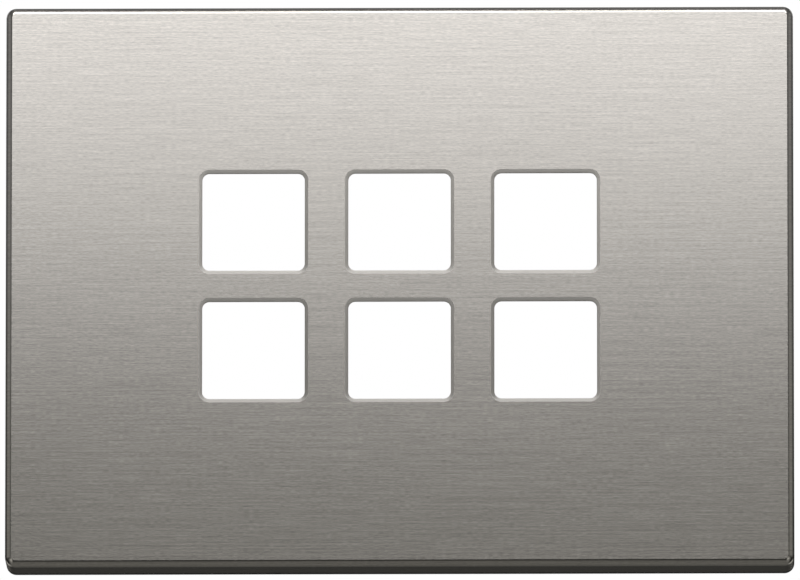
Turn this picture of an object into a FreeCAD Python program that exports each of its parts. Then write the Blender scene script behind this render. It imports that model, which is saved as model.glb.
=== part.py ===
# Screwless cover plate for a grid of wall switches: a pressed metal skin crimped onto a moulded carrier.
# The pieces are modelled lying on their back, with X across, Y up the wall and Z out of the wall.
# They are then stood up, so that the plate faces -Y and its origin is the middle of the wall plane.
import FreeCAD
import Part
import os

from FreeCAD import Vector
from math import pi

# Plate outline, in millimetres
plate_width = 121.4
plate_height = 87.2
plate_depth = 9.0  # wall plane to front face

# Pressed skin
skin_thickness = 0.8
inside_bend_radius = 0.15
roll_radius = 1.3  # rolled edge round the face
ground_depth = 0.05  # ground off the front, so that the face ends in a crisp line
face_corner_radius = 0.6  # corners of the flat sheet, inside the bend

# Openings, a grid centred on the face
column_count = 3
row_count = 2
opening_width = 15.8
opening_height = 15.2
opening_corner_radius = 1.1
column_bar = 6.7  # metal left between two columns
row_bar = 4.8  # metal left between two rows
bevel_width = 0.55
bevel_depth = 0.2

# Crimp tabs, two on each short side
tab_width = 8.0
tab_inset = 21.6  # plate's long edge to the middle of a tab
tab_straight = 0.45  # skirt edge to the start of the fold
tab_grip = 1.0  # flat length past the fold
tab_lift = 0.2  # wall plane to the folded tab

# Moulded carrier
fit_clearance = 0.15
wall_thickness = 1.8
panel_thickness = 1.5
cavity_corner_radius = 1.2
window_relief = 0.9  # window edge behind the edge of its opening
rib_root_thickness = 1.6
rib_tip_thickness = 1.2
rib_height = 1.7

# Snap hooks, two behind each short side
hook_inset = 7.2  # plate's short edge to the gripped side of the wall support
hook_end_inset = 13.6  # plate's long edge to the middle of a hook
hook_width = 8.0
hook_thickness = 1.5
hook_root_radius = 0.6
hook_barb = 0.9
hook_barb_land = 0.4
hook_catch_height = 2.4  # wall plane to the catching face
hook_tip_height = 0.8  # wall plane to the tip

# What follows from those sizes
edge_radius = inside_bend_radius + skin_thickness
corner_radius = face_corner_radius + edge_radius
inside_corner_radius = face_corner_radius + inside_bend_radius
column_pitch = opening_width + column_bar
row_pitch = opening_height + row_bar
rim_height = tab_lift + edge_radius + tab_straight
tab_reach = edge_radius + tab_grip
skin_back = plate_depth - skin_thickness
panel_back = skin_back - panel_thickness
carrier_gap = skin_thickness + fit_clearance
edge_break = inside_bend_radius + fit_clearance
cavity_width = plate_width - 2 * (carrier_gap + wall_thickness)
cavity_height = plate_height - 2 * (carrier_gap + wall_thickness)
grip_x = plate_width / 2 - hook_inset
barb_x = grip_x - hook_barb

# Modelling allowances
same_height = 1e-6
cut_overrun = 1.0


def rounded_outline(width, height, radius, z):
    """A closed outline with four rounded corners, centred on the Z axis."""
    arcs = []
    for quarter, (right, up) in enumerate(((1, 1), (-1, 1), (-1, -1), (1, -1))):
        centre = Vector(right * (width / 2 - radius), up * (height / 2 - radius), z)
        circle = Part.Circle(centre, Vector(0, 0, 1), radius)
        arcs.append(Part.ArcOfCircle(circle, quarter * pi / 2, (quarter + 1) * pi / 2))
    sides = [
        Part.LineSegment(arc.EndPoint, following.StartPoint)
        for arc, following in zip(arcs, arcs[1:] + arcs[:1])
    ]
    return Part.Wire([curve.toShape() for pair in zip(arcs, sides) for curve in pair])


def rounded_block(width, height, radius, low, high):
    """A block with rounded upright corners between two heights."""
    face = Part.Face(rounded_outline(width, height, radius, low))
    return face.extrude(Vector(0, 0, high - low))


def front_edges(block, height):
    """The edges of a block that lie at its front height."""
    return [e for e in block.Edges if all(abs(v.Z - height) < same_height for v in e.Vertexes)]


def grid_places():
    """Centres of the openings, row by row."""
    columns = [(i - (column_count - 1) / 2) * column_pitch for i in range(column_count)]
    rows = [(i - (row_count - 1) / 2) * row_pitch for i in range(row_count)]
    return [Vector(x, y, 0) for y in rows for x in columns]


def short_side_places(end_inset):
    """Side sign and Y of the two places on each short side, measured from the long edges."""
    y = plate_height / 2 - end_inset
    return [(side, end * y) for side in (-1, 1) for end in (-1, 1)]


def mirrored_for(side, solid):
    """The right-hand solid itself for side 1, and its mirror image on the left for side -1."""
    return solid if side > 0 else solid.mirror(Vector(0, 0, 0), Vector(1, 0, 0))


def side_profile(edges, side, y, width):
    """Extrudes a profile drawn for the right-hand short side along Y, centred on a place there."""
    solid = Part.Face(Part.Wire(edges)).extrude(Vector(0, width, 0))
    solid.translate(Vector(0, y - width / 2, 0))
    return mirrored_for(side, solid)


def run(*points):
    """Straight edges through points given as X and Z."""
    return Part.makePolygon([Vector(x, 0, z) for x, z in points]).Edges


def quarter_arc(centre_x, centre_z, radius, sign_x, sign_z):
    """A quarter circle in the XZ plane, in the quadrant that the two signs name."""
    slant = radius * 0.5**0.5
    return Part.Arc(
        Vector(centre_x + sign_x * radius, 0, centre_z),
        Vector(centre_x + sign_x * slant, 0, centre_z + sign_z * slant),
        Vector(centre_x, 0, centre_z + sign_z * radius),
    ).toShape()


def crimp_tab(side, y):
    """A strip of the sheet that runs down from the skirt and folds in under the carrier."""
    outside = plate_width / 2
    inside = outside - skin_thickness
    bend_x = outside - edge_radius
    bend_z = tab_lift + edge_radius
    tip_x = outside - tab_reach
    tab_top = tab_lift + skin_thickness
    edges = run((inside, bend_z), (inside, rim_height), (outside, rim_height), (outside, bend_z))
    edges += [quarter_arc(bend_x, bend_z, edge_radius, 1, -1)]
    edges += run((bend_x, tab_lift), (tip_x, tab_lift), (tip_x, tab_top), (bend_x, tab_top))
    edges += [quarter_arc(bend_x, bend_z, inside_bend_radius, 1, -1)]
    return side_profile(edges, side, y, tab_width)


def opening_outline(spread, z):
    """The outline of an opening, grown by a spread on every side."""
    width = opening_width + 2 * spread
    height = opening_height + 2 * spread
    return rounded_outline(width, height, opening_corner_radius + spread, z)


def opening_cutter(place):
    """A straight punch through the sheet, with a bevel that widens through the front face."""
    punch = Part.Face(opening_outline(0, skin_back - cut_overrun))
    punch = punch.extrude(Vector(0, 0, skin_thickness + cut_overrun))
    bevel_low = opening_outline(0, plate_depth - bevel_depth)
    bevel_high = opening_outline(2 * bevel_width, plate_depth + bevel_depth)
    cutter = punch.fuse(Part.makeLoft([bevel_low, bevel_high], True, True))
    cutter.translate(place)
    return cutter


def front_skin():
    """The pressed sheet: a rolled tray, ground flat, with bevelled openings and folded tabs."""
    rough_depth = plate_depth + ground_depth
    outside = rounded_block(plate_width, plate_height, corner_radius, rim_height, rough_depth)
    outside = outside.makeFillet(roll_radius, front_edges(outside, rough_depth))
    outside = outside.cut(rounded_block(plate_width, plate_height, corner_radius, plate_depth, rough_depth))
    inside_width = plate_width - 2 * skin_thickness
    inside_height = plate_height - 2 * skin_thickness
    inside = rounded_block(inside_width, inside_height, inside_corner_radius, rim_height, skin_back)
    inside = inside.makeFillet(inside_bend_radius, front_edges(inside, skin_back))
    skin = outside.cut(inside)
    skin = skin.fuse([crimp_tab(side, y) for side, y in short_side_places(tab_inset)])
    skin = skin.cut([opening_cutter(place) for place in grid_places()])
    return skin.removeSplitter()


def tab_pocket(side, y):
    """Room in the carrier's rim for a crimp tab, which seats on the pocket's roof."""
    width = tab_width + 2 * fit_clearance
    outside = plate_width / 2
    roof = tab_lift + skin_thickness
    fold_room = skin_thickness + inside_bend_radius + fit_clearance
    under_tab = Part.makeBox(tab_reach + fit_clearance + cut_overrun, width, roof + cut_overrun)
    under_tab.translate(Vector(outside - tab_reach - fit_clearance, y - width / 2, -cut_overrun))
    beside_fold = Part.makeBox(fold_room + cut_overrun, width, rim_height + cut_overrun)
    beside_fold.translate(Vector(outside - fold_room, y - width / 2, -cut_overrun))
    return mirrored_for(side, under_tab.fuse(beside_fold))


def stiffening_ribs():
    """Tapered ribs across the back of the panel, on the lines between and beside the openings."""
    root = rib_root_thickness / 2
    tip = rib_tip_thickness / 2
    rib_back = panel_back - rib_height
    section = ((-root, panel_back), (root, panel_back), (tip, rib_back), (-tip, rib_back))
    ribs = []
    for column in range(column_count + 1):
        x = (column - column_count / 2) * column_pitch
        corners = [Vector(x + across, -cavity_height / 2, z) for across, z in section]
        ribs.append(Part.Face(Part.makePolygon(corners, True)).extrude(Vector(0, cavity_height, 0)))
    for row in range(row_count + 1):
        y = (row - row_count / 2) * row_pitch
        corners = [Vector(-cavity_width / 2, y + across, z) for across, z in section]
        ribs.append(Part.Face(Part.makePolygon(corners, True)).extrude(Vector(cavity_width, 0, 0)))
    return ribs


def snap_hook(side, y):
    """A springy arm from the panel, with a rounded outer root and a barb that points inwards."""
    back_x = grip_x + hook_thickness
    root_x = back_x + hook_root_radius
    root_z = panel_back - hook_root_radius
    edges = run(
        (root_x, panel_back),
        (grip_x, panel_back),
        (grip_x, hook_catch_height),
        (barb_x, hook_catch_height),
        (barb_x, hook_catch_height - hook_barb_land),
        (grip_x, hook_tip_height),
        (back_x, hook_tip_height),
        (back_x, root_z),
    )
    edges += [quarter_arc(root_x, root_z, hook_root_radius, -1, 1)]
    return side_profile(edges, side, y, hook_width)


def barb_slot(side, y):
    """The slot through the panel in front of a barb, where the mould reaches the catching face."""
    width = hook_width + 2 * fit_clearance
    slot = Part.makeBox(grip_x - barb_x + fit_clearance, width, panel_thickness + 2 * cut_overrun)
    slot.translate(Vector(barb_x - fit_clearance, y - width / 2, panel_back - cut_overrun))
    return mirrored_for(side, slot)


def carrier_window(place):
    """The hole in the panel behind one opening, set back from the opening's edge all round."""
    window = Part.Face(opening_outline(window_relief, panel_back - cut_overrun))
    window = window.extrude(Vector(0, 0, panel_thickness + 2 * cut_overrun))
    window.translate(place)
    return window


def clip_carrier():
    """The moulding: a rim flush with the skirt, and a hollow upstand that backs the skin."""
    rim = rounded_block(plate_width, plate_height, corner_radius, 0, rim_height)
    upstand_width = plate_width - 2 * carrier_gap
    upstand_height = plate_height - 2 * carrier_gap
    upstand_corner_radius = inside_corner_radius + edge_break
    upstand = rounded_block(upstand_width, upstand_height, upstand_corner_radius, 0, skin_back)
    upstand = upstand.makeChamfer(edge_break, front_edges(upstand, skin_back))
    cavity = rounded_block(cavity_width, cavity_height, cavity_corner_radius, -cut_overrun, panel_back)
    windows = [carrier_window(place) for place in grid_places()]
    pockets = [tab_pocket(side, y) for side, y in short_side_places(tab_inset)]
    slots = [barb_slot(side, y) for side, y in short_side_places(hook_end_inset)]
    hooks = [snap_hook(side, y) for side, y in short_side_places(hook_end_inset)]
    carrier = rim.fuse(upstand).cut([cavity] + windows + pockets + slots)
    return carrier.fuse(stiffening_ribs() + hooks).removeSplitter()


def stand_up(shape):
    """Turns a piece from lying on its back to standing on the wall, facing -Y."""
    return shape.rotated(Vector(0, 0, 0), Vector(1, 0, 0), 90)


pieces = {"front_skin": front_skin(), "clip_carrier": clip_carrier()}
os.makedirs("parts", exist_ok=True)
for name, shape in pieces.items():
    stand_up(shape).exportStep(f"parts/{name}.step")
    print(f"{name}: {len(shape.Solids)} solid, {shape.Volume:.0f} mm3, valid {shape.isValid()}")
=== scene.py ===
# Brushed cover plate for a grid of wall switches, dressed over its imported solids
import bmesh
import bpy
import math

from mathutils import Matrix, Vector


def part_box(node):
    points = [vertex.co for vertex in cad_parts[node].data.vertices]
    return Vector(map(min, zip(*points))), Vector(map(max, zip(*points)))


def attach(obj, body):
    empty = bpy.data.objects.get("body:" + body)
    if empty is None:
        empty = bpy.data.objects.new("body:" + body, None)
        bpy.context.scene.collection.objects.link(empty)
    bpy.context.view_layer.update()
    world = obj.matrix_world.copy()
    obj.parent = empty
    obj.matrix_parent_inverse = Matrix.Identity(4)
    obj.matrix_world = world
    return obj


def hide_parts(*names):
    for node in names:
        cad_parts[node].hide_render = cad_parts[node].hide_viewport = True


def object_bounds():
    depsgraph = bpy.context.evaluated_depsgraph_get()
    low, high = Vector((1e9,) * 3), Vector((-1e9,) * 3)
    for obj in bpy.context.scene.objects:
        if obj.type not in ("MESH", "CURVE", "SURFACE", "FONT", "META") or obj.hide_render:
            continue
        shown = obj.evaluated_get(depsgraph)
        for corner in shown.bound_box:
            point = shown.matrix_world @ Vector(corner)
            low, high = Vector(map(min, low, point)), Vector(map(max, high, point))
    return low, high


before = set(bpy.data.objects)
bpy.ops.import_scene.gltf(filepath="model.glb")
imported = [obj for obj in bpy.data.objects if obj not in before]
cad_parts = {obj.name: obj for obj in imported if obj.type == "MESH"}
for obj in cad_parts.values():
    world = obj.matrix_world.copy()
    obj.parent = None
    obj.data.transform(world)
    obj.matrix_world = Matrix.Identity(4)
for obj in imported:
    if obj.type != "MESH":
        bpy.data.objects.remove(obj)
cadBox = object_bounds()
scene = bpy.context.scene
scene.view_settings.view_transform = "Standard"
mm = 0.001
print("frame loaded:", ", ".join(sorted(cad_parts)))


class Wire:  # a socket that can be used in sums
    def __init__(self, graph, socket):
        self.graph = graph
        self.socket = socket

    def calc(self, operation, *terms):
        return self.graph.add("ShaderNodeMath", {"operation": operation}, dict(enumerate(terms)))

    def __add__(self, other):
        return self.calc("ADD", self, other)

    def __radd__(self, other):
        return self.calc("ADD", other, self)

    def __sub__(self, other):
        return self.calc("SUBTRACT", self, other)

    def __rsub__(self, other):
        return self.calc("SUBTRACT", other, self)

    def __mul__(self, other):
        return self.calc("MULTIPLY", self, other)

    def __rmul__(self, other):
        return self.calc("MULTIPLY", other, self)

    def __abs__(self):
        return self.calc("ABSOLUTE", self)


class Graph:  # the nodes of one material or world
    def __init__(self, owner):
        owner.use_nodes = True
        self.tree = owner.node_tree
        self.tree.nodes.clear()

    def add(self, kind, settings=None, inputs=None, out=0):
        node = self.tree.nodes.new(kind)
        for name, value in (settings or {}).items():
            setattr(node, name, value)
        for name, value in (inputs or {}).items():
            if isinstance(value, Wire):
                self.tree.links.new(value.socket, node.inputs[name])
            else:
                node.inputs[name].default_value = value
        return Wire(self, node.outputs[out]) if len(node.outputs) else node

    def ramp(self, value, low, high, fromValue=0.0, toValue=1.0):  # soft step between two values
        return self.add(
            "ShaderNodeMapRange",
            {"interpolation_type": "SMOOTHSTEP", "clamp": True},
            {0: value, 1: low, 2: high, 3: fromValue, 4: toValue},
        )

    def band(self, value, stops):  # fades in between the first two stops and out between the last two
        return self.ramp(value, stops[0], stops[1]) * self.ramp(value, stops[2], stops[3], 1.0, 0.0)

    def noise(self, vector, detail, dimensions="3D"):
        return self.add(
            "ShaderNodeTexNoise",
            {"noise_dimensions": dimensions},
            {"Vector": vector, "Scale": 1.0, "Detail": detail, "Roughness": 0.5},
        )

    def scaled(self, vector, factors):
        return self.add("ShaderNodeVectorMath", {"operation": "MULTIPLY"}, {0: vector, 1: factors})

    def mix(self, factor, first, second, blend="MIX"):
        return self.add(
            "ShaderNodeMix", {"data_type": "RGBA", "blend_type": blend},
            {"Factor": factor, 6: first, 7: second}, out=2,
        )


noiseMiddle = 0.5  # noise varies about this value


def newObject(name, data):
    thing = bpy.data.objects.new(name, data)
    scene.collection.objects.link(thing)
    return thing


def meshFrom(bm, name):
    mesh = bpy.data.meshes.new(name)
    bm.to_mesh(mesh)
    bm.free()
    return mesh


def bridge(bm, first, second, skip=()):  # a band of faces between two rings
    count = len(first)
    for i in range(count):
        if i not in skip:
            j = (i + 1) % count
            bm.faces.new((first[i], first[j], second[j], second[i]))


# Camera: a long lens a little below the plate, looking up at its face
shot = {
    "lens": 1000.0, "clipEnd": 20.0,
    "imageWidth": 800, "pixelsPerMm": 6.494,
    "below": 9.2, "right": 0.9,  # degrees
    "dropMm": 0.70, "aimMm": 0.08,
}


def makeCamera():
    data = bpy.data.cameras.new("camera")
    data.lens = shot["lens"]
    data.sensor_fit = "HORIZONTAL"
    data.clip_end = shot["clipEnd"]
    camera = newObject("camera", data)
    seenWidth = shot["imageWidth"] / shot["pixelsPerMm"] * mm
    distance = shot["lens"] / data.sensor_width * seenWidth
    tilt, turn = math.radians(shot["below"]), math.radians(shot["right"])
    target = Vector((shot["aimMm"] * mm, cadBox[0].y, -shot["dropMm"] * mm))
    camera.rotation_euler = (math.pi / 2 + tilt, 0, turn)
    camera.location = target + camera.rotation_euler.to_matrix() @ Vector((0, 0, distance))
    scene.camera = camera


makeCamera()
print("camera set")


# White surroundings and a pale floor well below the plate, distances in m
room = {
    "white": (1.0, 1.0, 1.0, 1.0), "fill": 0.8,
    "floor": (0.9, 0.9, 0.89, 1.0),
    "floorDrop": 0.31, "floorReach": 1.75, "floorFade": 1.2, "floorSides": 96,
}


def makeWorld():
    world = bpy.data.worlds.new("whiteRoom")
    scene.world = world
    graph = Graph(world)
    rays = [graph.add("ShaderNodeLightPath", out=name) for name in
            ("Is Camera Ray", "Is Glossy Ray", "Is Transmission Ray")]
    seen = rays[0] + rays[1] + rays[2]
    fill = graph.add("ShaderNodeBackground", None, {"Color": room["white"], "Strength": room["fill"]})
    shown = graph.add("ShaderNodeBackground", None, {"Color": room["white"], "Strength": 1.0})
    both = graph.add("ShaderNodeMixShader", None, {0: seen, 1: fill, 2: shown})
    graph.add("ShaderNodeOutputWorld", None, {"Surface": both})


def makeFloor():  # fades out towards its rim
    bm = bmesh.new()
    bmesh.ops.create_circle(bm, cap_ends=True, segments=room["floorSides"], radius=room["floorReach"])
    mesh = meshFrom(bm, "floor")
    floor = newObject("floor", mesh)
    floor.location.z = -room["floorDrop"]
    material = bpy.data.materials.new("paleFloor")
    graph = Graph(material)
    place = graph.add("ShaderNodeTexCoord", out="Object")
    reach = graph.add("ShaderNodeVectorMath", {"operation": "LENGTH"}, {0: place}, out="Value")
    fade = graph.ramp(reach, room["floorFade"], room["floorReach"])
    board = graph.add("ShaderNodeBsdfDiffuse", None, {"Color": room["floor"]})
    clear = graph.add("ShaderNodeBsdfTransparent")
    shader = graph.add("ShaderNodeMixShader", None, {0: fade, 1: board, 2: clear})
    graph.add("ShaderNodeOutputMaterial", None, {"Surface": shader})
    mesh.materials.append(material)


# A cloth tent round the plate, with one soft window above the line of sight and dim glows elsewhere
# A zone is its glow and where it fades in and out: across, up, and towards the back, as shares of the radius
# A pair of stops at or past -1 or 1 leaves that side of a zone open
tent = {
    "radius": 0.3, "segments": 64, "rings": 48,
    "dark": 0.01,
    "lowTint": (1.0, 1.0, 0.95, 1.0), "highTint": (1.0, 1.01, 1.04, 1.0), "tintFrom": 0.02, "tintTo": 0.25,
    "zones": {
        "window": (1.243, (-2, -1, 0.38, 0.435), (0.078, 0.283, 0.6, 0.69), (-2, -1.5, 0.0, 0.2)),
        "lamp": (0.38, (-2, -1, 0.38, 0.435), (0.42, 0.62, 0.88, 0.97), (-2, -1.5, 0.0, 0.2)),
        "sill": (0.157, (-2, -1, 0.38, 0.435), (-0.36, -0.22, 0.0, 0.2), (-2, -1.5, 0.0, 0.2)),
        "sides": (0.09, (0.44, 0.56, 1, 2), (-0.3, 0.0, 0.8, 1.0), (-2, -1.5, -0.1, 0.3)),
        "flanks": (0.13, (0.75, 0.9, 1, 2), (-0.3, 0.0, 0.8, 1.0), (-2, -1.5, 0.0, 0.3)),
        "rear": (0.07, (-2, -1, 1, 2), (-0.05, 0.1, 1, 2), (0.0, 0.3, 1, 2)),
        "over": (0.08, (-2, -1, 0.9, 1.0), (0.7, 0.9, 1, 2), (-2, -1.5, 1, 2)),
        "under": (0.13, (-2, -1, 0.9, 1.0), (-2, -1.5, -0.85, -0.6), (-2, -1.5, 0.2, 0.6)),
        "underRear": (0.09, (-2, -1, 0.9, 1.0), (-2, -0.9, -0.6, -0.25), (0.2, 0.6, 1, 2)),
        "corners": (0.14, (0.45, 0.62, 1, 2), (-2, -1, -0.4, -0.25), (-2, -1.5, -0.3, 0.0)),
        "lowFront": (0.39, (0.45, 0.62, 0.78, 0.9), (-0.7, -0.57, -0.4, -0.25), (-2, -1.5, -0.5, -0.35)),
        "rearLow": (0.5, (0.42, 0.6, 1, 2), (-2, -1, -0.35, -0.2), (0.35, 0.55, 1, 2)),
        "rearHigh": (0.4, (0.42, 0.6, 1, 2), (0.26, 0.36, 0.6, 0.75), (0.35, 0.55, 1, 2)),
    },
}


def makeTent():
    radius = tent["radius"]
    bm = bmesh.new()
    bmesh.ops.create_uvsphere(bm, u_segments=tent["segments"], v_segments=tent["rings"], radius=radius)
    mesh = meshFrom(bm, "tent")
    cloth = newObject("tent", mesh)
    cloth.visible_camera = False
    cloth.visible_diffuse = False
    material = bpy.data.materials.new("tentCloth")
    graph = Graph(material)
    place = graph.add("ShaderNodeNewGeometry", out="Position")
    way = graph.scaled(place, (1 / radius,) * 3)
    across, back, up = [graph.add("ShaderNodeSeparateXYZ", None, {0: way}, out=axis) for axis in range(3)]
    wide = abs(across)
    glow = tent["dark"]
    for strength, wideStops, upStops, backStops in tent["zones"].values():
        share = graph.band(wide, wideStops) * graph.band(up, upStops) * graph.band(back, backStops)
        glow = glow + share * strength
    shade = graph.add("ShaderNodeCombineColor", None, {0: glow, 1: glow, 2: glow})
    tint = graph.mix(graph.ramp(up, tent["tintFrom"], tent["tintTo"]), tent["lowTint"], tent["highTint"])
    light = graph.mix(1.0, shade, tint, "MULTIPLY")
    shader = graph.add("ShaderNodeEmission", None, {"Color": light, "Strength": 1.0})
    graph.add("ShaderNodeOutputMaterial", None, {"Surface": shader})
    mesh.materials.append(material)


# A bar lamp in front of and above the upper edge, so that its light falls off down the plate, distances in m
bar = {"front": 0.044, "low": 0.068, "high": 0.109, "halfWidth": 0.085, "glow": 3.385}


def makeBar():
    mesh = bpy.data.meshes.new("bar")
    half, front = bar["halfWidth"], -bar["front"]
    corners = [(side * half, front, height) for side, height in
               ((-1, bar["low"]), (1, bar["low"]), (1, bar["high"]), (-1, bar["high"]))]
    mesh.from_pydata(corners, [], [(0, 1, 2, 3)])
    lamp = newObject("bar", mesh)
    lamp.visible_camera = False
    lamp.visible_diffuse = False
    lamp.visible_shadow = False
    material = bpy.data.materials.new("barGlow")
    graph = Graph(material)
    glow = (bar["glow"],) * 3 + (1.0,)
    shader = graph.add("ShaderNodeEmission", None, {"Color": glow, "Strength": 1.0})
    graph.add("ShaderNodeOutputMaterial", None, {"Surface": shader})
    mesh.materials.append(material)


makeWorld()
makeFloor()
makeTent()
makeBar()
print("room, tent and bar lamp set")


# Brushed metal: streaks of three lengths along the sheet, and a plainer finish where the openings are cut
metal = {
    "colour": (0.686, 0.65, 0.598), "contrast": 0.4, "roughness": 0.2, "roughnessSpread": 0.05,
    "anisotropy": 0.8, "turn": 0.25,
    "cutColour": (0.85, 0.814, 0.76), "cutRoughness": 0.514,
    "streaks": ((0.8, 0.14, 0.46), (5.0, 0.19, 0.31), (26.0, 0.28, 0.23)),  # length, width in mm, share
    "streakDetail": 1.0, "bumpMm": 0.0003,
}


def brushedMetal():
    material = bpy.data.materials.new("brushedMetal")
    graph = Graph(material)
    sheet = graph.add("ShaderNodeUVMap", {"uv_map": "sheet"})
    grain = None
    for length, width, share in metal["streaks"]:
        vector = graph.scaled(sheet, (1 / (length * mm), 1 / (width * mm), 1.0))
        layer = graph.noise(vector, metal["streakDetail"], "2D") * share
        grain = layer if grain is None else grain + layer
    spread = metal["contrast"]
    dull = tuple(c * (1 - spread) for c in metal["colour"]) + (1.0,)
    bright = tuple(c * (1 + spread) for c in metal["colour"]) + (1.0,)
    cut = graph.add("ShaderNodeAttribute", {"attribute_name": "cutEdge"}, out="Fac")
    rough = metal["roughness"] + (grain - noiseMiddle) * metal["roughnessSpread"]
    rough = rough + cut * (metal["cutRoughness"] - metal["roughness"])
    bump = graph.add(
        "ShaderNodeBump", None,
        {"Height": grain, "Distance": metal["bumpMm"] * mm, "Strength": 1.0},
    )
    shader = graph.add("ShaderNodeBsdfPrincipled", None, {
        "Base Color": graph.mix(cut, graph.mix(grain, dull, bright), metal["cutColour"] + (1.0,)),
        "Metallic": 1.0, "Roughness": rough,
        "Anisotropic": metal["anisotropy"], "Anisotropic Rotation": metal["turn"], "Normal": bump,
    })
    graph.add("ShaderNodeOutputMaterial", None, {"Surface": shader})
    return material


# Pressed skin: a tray with rolled edges, bevelled openings and folded tabs, lengths in mm
skin = {
    "thickness": 0.8, "rollInside": 0.15, "rollOutside": 1.3, "ground": 0.05, "corner": 1.55, "skirtEnd": 1.6,
    "rollSteps": 14, "insideSteps": 6, "cornerSteps": 8,
    "columns": (-22.5, 0.0, 22.5), "rows": (-10.0, 10.0), "opening": (15.8, 15.2), "openingCorner": 1.1,
    "bevelWidth": 0.55, "bevelDepth": 0.2,
    "cutWidth": 0.94, "cutDepth": 0.03,  # shares of the bevel where its cut finish starts
    "tabMiddle": 22.0, "tabWidth": 8.0, "tabStraight": 0.45, "tabGrip": 1.0, "foldSteps": 8,
    "sharpAngle": 28,  # degrees between faces
    "brushCentre": (0.0, 1.0, 0.0), "brushSize": (0.1, 0.1, 0.1),  # m, far behind, so gloss runs across
}


def roundedOutline(halfWidth, halfHeight, radius, steps, marks=()):
    # points round a rectangle with their outward directions, and extra points on the short sides
    points = []
    for quarter, (right, up) in enumerate(((1, 1), (-1, 1), (-1, -1), (1, -1))):
        if quarter in (0, 2):
            rows = sorted(marks) if quarter == 0 else sorted(marks, reverse=True)
            points += [(right * halfWidth, row, right, 0.0) for row in rows]
        for step in range(steps + 1):
            angle = (quarter + step / steps) * math.pi / 2
            outX, outZ = math.cos(angle), math.sin(angle)
            x = right * (halfWidth - radius) + radius * outX
            z = up * (halfHeight - radius) + radius * outZ
            points.append((x, z, outX, outZ))
    return points


def quarterTurn(steps):  # angles of a bend from flat to square
    return [math.pi / 2 * step / steps for step in range(steps + 1)]


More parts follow.
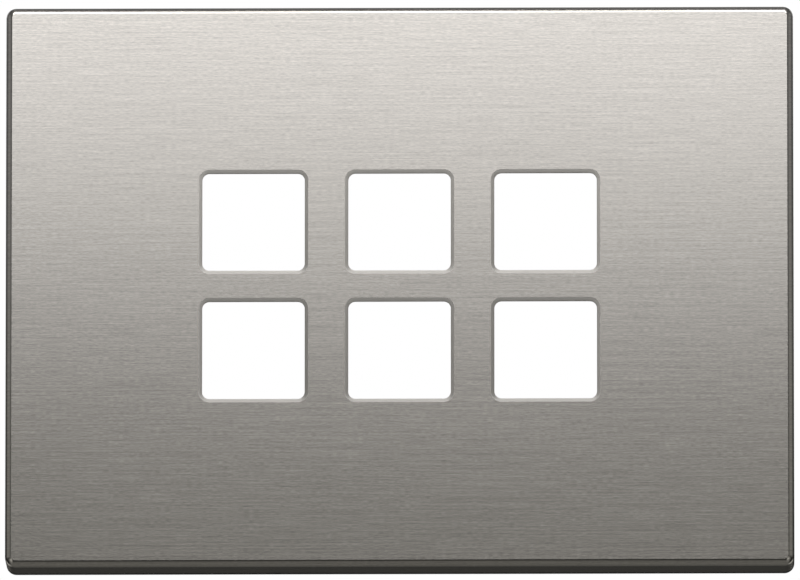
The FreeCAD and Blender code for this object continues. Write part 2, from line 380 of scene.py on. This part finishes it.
def makeSkin(material):
    low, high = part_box("front_skin")
    halfWidth, halfHeight, front = high.x / mm, high.z / mm, -low.y / mm
    tabLift = -high.y / mm
    thick = skin["thickness"]
    roll = thick + skin["rollInside"]
    half = skin["tabWidth"] / 2
    marks = [side * (skin["tabMiddle"] + end * half) for side in (-1, 1) for end in (-1, 1)]
    bm = bmesh.new()
    sheetPlace = {}
    cutShare = {}
    lean = {}

    def vertex(x, depth, z, u, v, cut=0.0):
        vert = bm.verts.new((x * mm, -depth * mm, z * mm))
        sheetPlace[vert] = (u * mm, v * mm)
        cutShare[vert] = cut
        return vert

    def trayRing(inset, depth, along, tilt, side):  # along is the way over the sheet from the flat face
        outline = roundedOutline(
            halfWidth - inset, halfHeight - inset, skin["corner"] - inset, skin["cornerSteps"], marks
        )
        ring = []
        for x, z, nx, nz in outline:
            shift = inset - roll + along
            vert = vertex(x, depth, z, x + nx * shift, z + nz * shift)
            lean[vert] = side * Vector((nx * math.sin(tilt), -math.cos(tilt), nz * math.sin(tilt)))
            ring.append(vert)
        return ring

    def fill(rings):
        edges = []
        for ring in rings:
            for a, b in zip(ring, ring[1:] + ring[:1]):
                edges.append(bm.edges.get((a, b)) or bm.edges.new((a, b)))
        bmesh.ops.triangle_fill(bm, use_beauty=True, edges=edges)

    # the face is ground flat, so the rolled edge starts with a crisp break
    steps = skin["rollSteps"]
    outside, inside = skin["rollOutside"], skin["rollInside"]
    ground = math.acos(1 - skin["ground"] / outside)
    tilts = [ground + (math.pi / 2 - ground) * step / steps for step in range(steps + 1)]
    outer, inner = [], []
    for t in tilts:
        sink = outside * (1 - math.cos(t)) - skin["ground"]
        outer.append(trayRing(outside * (1 - math.sin(t)), front - sink, outside * (t - ground), t, 1))
    skirtWay = outside * (math.pi / 2 - ground) + front - sink - skin["skirtEnd"]  # sink is the last ring's
    outer.append(trayRing(0.0, skin["skirtEnd"], skirtWay, math.pi / 2, 1))
    for t in quarterTurn(skin["insideSteps"]):
        sink = thick + inside * (1 - math.cos(t))
        inner.append(trayRing(thick + inside * (1 - math.sin(t)), front - sink, roll * t, t, -1))
    inner.append(trayRing(thick, skin["skirtEnd"], skirtWay, math.pi / 2, -1))
    for rings in (outer, inner):
        for first, second in zip(rings, rings[1:]):
            bridge(bm, first, second)

    # the skirt's edge, open where a tab runs on
    slack, past = 0.01, 0.1  # mm either side of the skirt, and beyond a tab's end
    tabReach = skin["tabMiddle"] + half + past
    tabEnds = [i for i, vert in enumerate(outer[-1])
               if abs(abs(vert.co.x / mm) - halfWidth) < slack and abs(vert.co.z / mm) < tabReach]
    tabStarts = tabEnds[::2]
    bridge(bm, outer[-1], inner[-1], skip=tabStarts)
    bendDepth = tabLift + roll
    for i in tabStarts:
        pair = []
        for k in (i, i + 1):
            outTop, inTop = outer[-1][k], inner[-1][k]
            sign = 1 if outTop.co.x > 0 else -1
            z = outTop.co.z / mm
            outRun, inRun = [outTop], [inTop]
            start = sheetPlace[outTop][0] / mm
            for t in quarterTurn(skin["foldSteps"]):
                u = start + sign * (skin["tabStraight"] + roll * t)
                outX = halfWidth - roll * (1 - math.cos(t))
                inX = halfWidth - roll + inside * math.cos(t)
                outRun.append(vertex(sign * outX, bendDepth - roll * math.sin(t), z, u, z))
                inRun.append(vertex(sign * inX, bendDepth - inside * math.sin(t), z, u, z))
            u = start + sign * (skin["tabStraight"] + roll * math.pi / 2 + skin["tabGrip"])
            tip = sign * (halfWidth - roll - skin["tabGrip"])
            outRun.append(vertex(tip, tabLift, z, u, z))
            inRun.append(vertex(tip, tabLift + thick, z, u, z))
            pair.append((outRun, inRun))
        (outA, inA), (outB, inB) = pair
        for k in range(len(outA) - 1):
            bm.faces.new((outA[k], outA[k + 1], outB[k + 1], outB[k]))
            bm.faces.new((inA[k], inB[k], inB[k + 1], inA[k + 1]))
            bm.faces.new((outA[k], inA[k], inA[k + 1], outA[k + 1]))
            bm.faces.new((outB[k], outB[k + 1], inB[k + 1], inB[k]))
        bm.faces.new((outA[-1], inA[-1], inB[-1], outB[-1]))

    # openings: a bevel, then a straight cut through the sheet
    frontRings, backRings = [outer[0]], [inner[0]]
    width, depth = skin["bevelWidth"], skin["bevelDepth"]
    lip = (
        (width, 0.0, 0.0), (width * skin["cutWidth"], depth * skin["cutDepth"], 1.0),
        (0.0, depth, 1.0), (0.0, thick, 1.0),
    )
    for column in skin["columns"]:
        for row in skin["rows"]:
            rings = []
            for spread, sink, cut in lip:
                outline = roundedOutline(
                    skin["opening"][0] / 2 + spread, skin["opening"][1] / 2 + spread,
                    skin["openingCorner"] + spread, skin["cornerSteps"],
                )
                rings.append([vertex(column + x, front - sink, row + z, column + x, row + z, cut)
                              for x, z, nx, nz in outline])
            for first, second in zip(rings, rings[1:]):
                bridge(bm, first, second)
            frontRings.append(rings[0])
            backRings.append(rings[-1])
    fill(frontRings)
    fill(backRings)

    bmesh.ops.recalc_face_normals(bm, faces=bm.faces)
    for face in bm.faces:
        face.smooth = True
    sharp = math.radians(skin["sharpAngle"])
    for edge in bm.edges:
        edge.smooth = edge.is_manifold and edge.calc_face_angle() < sharp
    openEdges = [edge for edge in bm.edges if not edge.is_manifold]
    print("skin:", len(bm.faces), "faces,", len(openEdges), "open edges")
    places = [sheetPlace[vert] for vert in bm.verts]
    shares = [cutShare[vert] for vert in bm.verts]
    leans = [lean.get(vert) for vert in bm.verts]
    mesh = meshFrom(bm, "pressed_skin")
    sheetLayer = mesh.uv_layers.new(name="sheet")
    for loop in mesh.loops:
        sheetLayer.data[loop.index].uv = places[loop.vertex_index]
    mesh.attributes.new("cutEdge", "FLOAT", "POINT").data.foreach_set("value", shares)
    # rolled edges are shaded by their true curve and flat faces stay flat
    # a zero vector leaves a normal as it is
    square, close = 0.9999, 0.8  # cosines: faces square to the depth, and leans close to their face
    ways = []
    for face in mesh.polygons:
        for corner in face.vertices:
            way = leans[corner]
            if abs(face.normal.y) > square:
                way = face.normal.copy()
            ways.append(way if way and way.dot(face.normal) > close else Vector())
    mesh.normals_split_custom_set(ways)
    mesh.use_auto_texspace = False
    mesh.texspace_location = skin["brushCentre"]
    mesh.texspace_size = skin["brushSize"]
    mesh.materials.append(material)
    piece = newObject("pressed_skin", mesh)
    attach(piece, "root")
    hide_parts("front_skin")


makeSkin(brushedMetal())
print("skin made")


# Moulded carrier: fine spark-eroded texture, edges just broken, and the marks of ejector pins
# Lengths are in mm
moulding = {
    "colour": (0.012, 0.012, 0.0125), "worn": (0.022, 0.022, 0.023),
    "roughness": 0.58, "roughnessSpread": 0.12, "specular": 0.35,
    "grainMm": 0.16, "grainDetail": 2.0, "bumpMm": 0.012,
    "flowMm": 9.0, "flowDetail": 3.0,
    "edgeMm": 0.18, "edgeSamples": 6,
    "panelBack": 6.7, "pinRadius": 1.5, "pinProud": 0.12, "pinSteps": 28,
    "pinRings": ((0.04, 0.0), (0.0, 1.0), (-0.14, 1.0), (-0.2, 0.6)),  # added to radius, share of height
    "pins": ((45.0, 10.0), (22.5, 31.0), (0.0, 31.0), (43.0, 31.0)),  # repeated in all four quarters
}


def blackMoulding():
    material = bpy.data.materials.new("blackMoulding")
    graph = Graph(material)
    place = graph.add("ShaderNodeTexCoord", out="Object")
    fine = graph.noise(graph.scaled(place, (1 / (moulding["grainMm"] * mm),) * 3), moulding["grainDetail"])
    flow = graph.noise(graph.scaled(place, (1 / (moulding["flowMm"] * mm),) * 3), moulding["flowDetail"])
    broken = graph.add(
        "ShaderNodeBevel", {"samples": moulding["edgeSamples"]}, {"Radius": moulding["edgeMm"] * mm}
    )
    bump = graph.add(
        "ShaderNodeBump", None,
        {"Height": fine, "Distance": moulding["bumpMm"] * mm, "Strength": 1.0, "Normal": broken},
    )
    shader = graph.add("ShaderNodeBsdfPrincipled", None, {
        "Base Color": graph.mix(flow, moulding["colour"] + (1.0,), moulding["worn"] + (1.0,)),
        "Roughness": moulding["roughness"] + (flow - noiseMiddle) * moulding["roughnessSpread"],
        "Specular IOR Level": moulding["specular"], "Normal": bump,
    })
    graph.add("ShaderNodeOutputMaterial", None, {"Surface": shader})
    return material


def dressCarrier(material):
    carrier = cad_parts["clip_carrier"]
    carrier.data.materials.clear()
    carrier.data.materials.append(material)


def makePinMarks(material):  # ejector pins leave shallow discs on the panel's back
    bm = bmesh.new()
    back = -moulding["panelBack"]
    steps = moulding["pinSteps"]
    spots = {(right * x, up * z) for x, z in moulding["pins"] for right in (-1, 1) for up in (-1, 1)}
    for x, z in sorted(spots):
        rings = []
        for wider, share in moulding["pinRings"]:
            reach, height = moulding["pinRadius"] + wider, moulding["pinProud"] * share
            ring = []
            for step in range(steps):
                angle = 2 * math.pi * step / steps
                across, up = x + reach * math.cos(angle), z + reach * math.sin(angle)
                ring.append(bm.verts.new((across * mm, (back + height) * mm, up * mm)))
            rings.append(ring)
        bm.faces.new(rings[0])
        for first, second in zip(rings, rings[1:]):
            bridge(bm, first, second)
        bm.faces.new(rings[-1])
    bmesh.ops.recalc_face_normals(bm, faces=bm.faces)
    mesh = meshFrom(bm, "pin_marks")
    mesh.materials.append(material)
    piece = newObject("pin_marks", mesh)
    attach(piece, "root")


plastic = blackMoulding()
dressCarrier(plastic)
makePinMarks(plastic)
print("carrier dressed")
